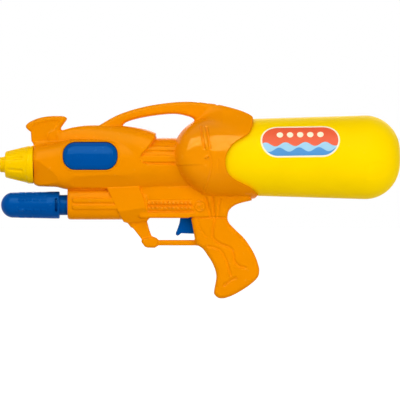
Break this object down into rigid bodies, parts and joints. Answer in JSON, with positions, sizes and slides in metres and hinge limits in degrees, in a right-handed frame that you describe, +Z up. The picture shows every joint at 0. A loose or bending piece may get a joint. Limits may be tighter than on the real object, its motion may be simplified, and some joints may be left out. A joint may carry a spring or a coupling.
{
  "type": "toy water squirter",
  "caption": "Hand-pumped toy water squirter: moulded shell with carry handle and grip, screw-in bottle tank, fluted nozzle, sliding pump handle and trigger valve.",
  "frame": {"origin": "middle of the hand grip, on the plane where the two shell halves meet", "axes": "-X towards the nozzle, +X towards the tank's end, +Z up, -Y out of the left shell half"},
  "size_m": [0.4395, 0.0918, 0.2158],
  "materials": {
    "shell": "injection-moulded, glossy",
    "insert": "injection-moulded, glossy",
    "nozzle": "injection-moulded, glossy",
    "tank": "blow-moulded, soft gloss",
    "pump_grip": "injection-moulded, glossy",
    "pump_rod": "extruded, glossy",
    "trigger": "injection-moulded, glossy",
    "inner_plastic": "injection-moulded, unpolished",
    "seal": "moulded",
    "hose": "extruded, soft",
    "steel": "zinc plated"
  },
  "bodies": {
    "shell": {"left_shell": "shell", "right_shell": "shell", "left_insert": "insert", "right_insert": "insert", "barrel_pipe": "inner_plastic", "pump_bush": "inner_plastic", "pump_cylinder": "inner_plastic", "check_valve_seat": "inner_plastic", "check_valve_cap": "inner_plastic", "tank_socket": "inner_plastic", "valve_body": "inner_plastic", "valve_gland": "inner_plastic", "check_valve_flap": "seal", "tank_gasket": "seal", "air_hose": "hose", "water_hose": "hose", "delivery_hose": "hose", "pick_up_tube": "hose", "trigger_pin": "steel", "valve_spring": "steel", "shell_screw_1": "steel", "shell_screw_2": "steel", "shell_screw_3": "steel", "shell_screw_4": "steel", "shell_screw_5": "steel", "shell_screw_6": "steel", "shell_screw_7": "steel", "shell_screw_8": "steel"},
    "nozzle": {"nozzle": "nozzle", "nozzle_washer": "seal"},
    "pump": {"pump_handle": "pump_grip", "pump_rod": "pump_rod", "piston": "inner_plastic", "piston_ring": "seal"},
    "tank": {"tank": "tank"},
    "trigger": {"trigger": "trigger"},
    "valve_stem": {"valve_stem": "inner_plastic", "stem_ring": "seal"}
  },
  "joints": [
    {"name": "pump_slide", "type": "slide", "parent": "shell", "child": "pump", "axis": [-1, 0, 0], "range_m": [0, 0.085]},
    {"name": "trigger_turn", "type": "hinge", "parent": "shell", "child": "trigger", "pos_m": [-0.045, 0, 0.0495], "axis": [0, -1, 0], "range_deg": [0, 12], "stiffness_Nm_per_rad": 0.3, "springref_deg": -8.59},
    {"name": "valve_push", "type": "slide", "parent": "shell", "child": "valve_stem", "axis": [1, 0, 0], "range_m": [0, 0.0037], "deforming": ["valve_spring"]},
    {"name": "tank_turn", "type": "hinge", "parent": "shell", "child": "tank", "pos_m": [0.05, 0, 0.1075], "axis": [1, 0, 0], "range_deg": [0, 540]},
    {"name": "nozzle_turn", "type": "hinge", "parent": "shell", "child": "nozzle", "pos_m": [-0.23, 0, 0.0995], "axis": [-1, 0, 0], "range_deg": [0, 540]}
  ],
  "couplings": [
    {"joint": "valve_push", "follows": "trigger_turn", "m_per_rad": 0.0175}
  ]
}
